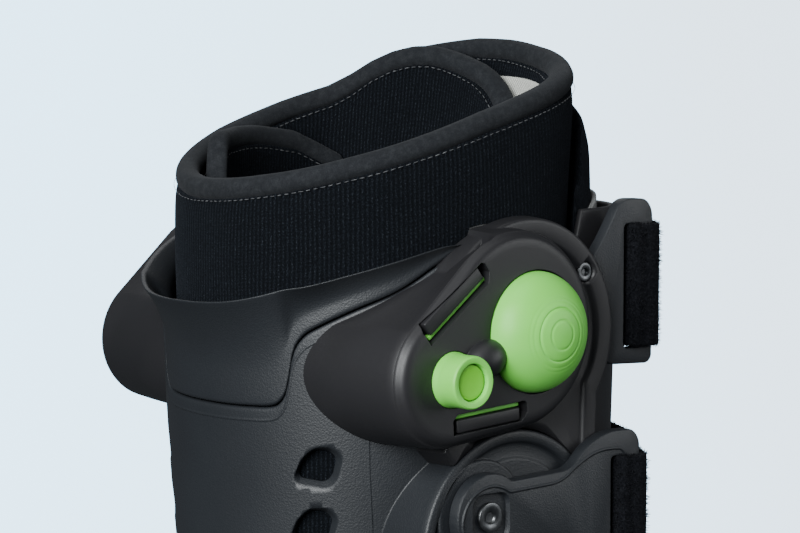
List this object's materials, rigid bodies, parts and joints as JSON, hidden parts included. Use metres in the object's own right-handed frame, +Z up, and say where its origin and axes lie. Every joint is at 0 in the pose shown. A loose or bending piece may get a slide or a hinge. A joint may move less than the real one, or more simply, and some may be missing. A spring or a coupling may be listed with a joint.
{
  "type": "medical walking boot",
  "caption": "Tall walking boot: hard rear shell on a rocker sole, padded wrap liner, air pump with release valve, hard front panel and straps.",
  "frame": {"origin": "on the floor under the leg axis, at the middle of the flat part of the sole", "axes": "+X to the toes, +Z up along the leg, -Y to the side that carries the air pump"},
  "size_m": [0.2969, 0.1904, 0.4095],
  "materials": {
    "shell_plastic": "fine moulded grain, near black with a cool tone",
    "housing_plastic": "smooth satin, brownish black",
    "knit_fabric": "ribbed black knit over foam",
    "binding_fabric": "smooth charcoal binding tape with stitching",
    "pale_knit": "light grey knit mesh",
    "loop_fabric": "brushed black loop pile",
    "green_rubber": "soft satin green",
    "sole_rubber": "matte black tread rubber",
    "steel": "dark satin steel"
  },
  "bodies": {
    "boot": {"sole_tread": "sole_rubber", "midsole": "shell_plastic", "boot_shell": "shell_plastic", "calf_collar": "shell_plastic", "liner_foot": "knit_fabric", "liner_wrap": "knit_fabric", "liner_rim": "binding_fabric", "front_lining": "pale_knit", "calf_pad": "knit_fabric", "calf_pad_binding": "binding_fabric", "shin_pad": "knit_fabric", "panel_lining": "pale_knit", "front_panel": "housing_plastic", "pump_housing": "housing_plastic", "far_housing": "housing_plastic", "pump_bulb": "green_rubber", "valve_collar": "green_rubber", "latch_upper": "housing_plastic", "pump_core_upper": "green_rubber", "latch_lower": "housing_plastic", "pump_core_lower": "green_rubber", "flange_screw_near": "steel", "flange_screw_far": "steel", "upper_clip_near": "shell_plastic", "lower_clip_near": "shell_plastic", "clip_rivet_near": "steel", "upper_clip_far": "shell_plastic", "lower_clip_far": "shell_plastic", "clip_rivet_far": "steel", "upper_strap": "loop_fabric", "lower_strap": "loop_fabric", "ankle_strap": "loop_fabric", "ankle_strap_rivet_near": "steel", "ankle_strap_rivet_far": "steel", "instep_strap": "loop_fabric", "instep_strap_rivet_near": "steel", "instep_strap_rivet_far": "steel", "toe_strap": "loop_fabric", "toe_strap_rivet_near": "steel", "toe_strap_rivet_far": "steel"},
    "button": {"valve_button": "green_rubber"}
  },
  "joints": [
    {"name": "valve_press", "type": "slide", "parent": "boot", "child": "button", "axis": [0, 1, 0], "range_m": [0, 0.002], "stiffness_N_per_m": 500}
  ]
}
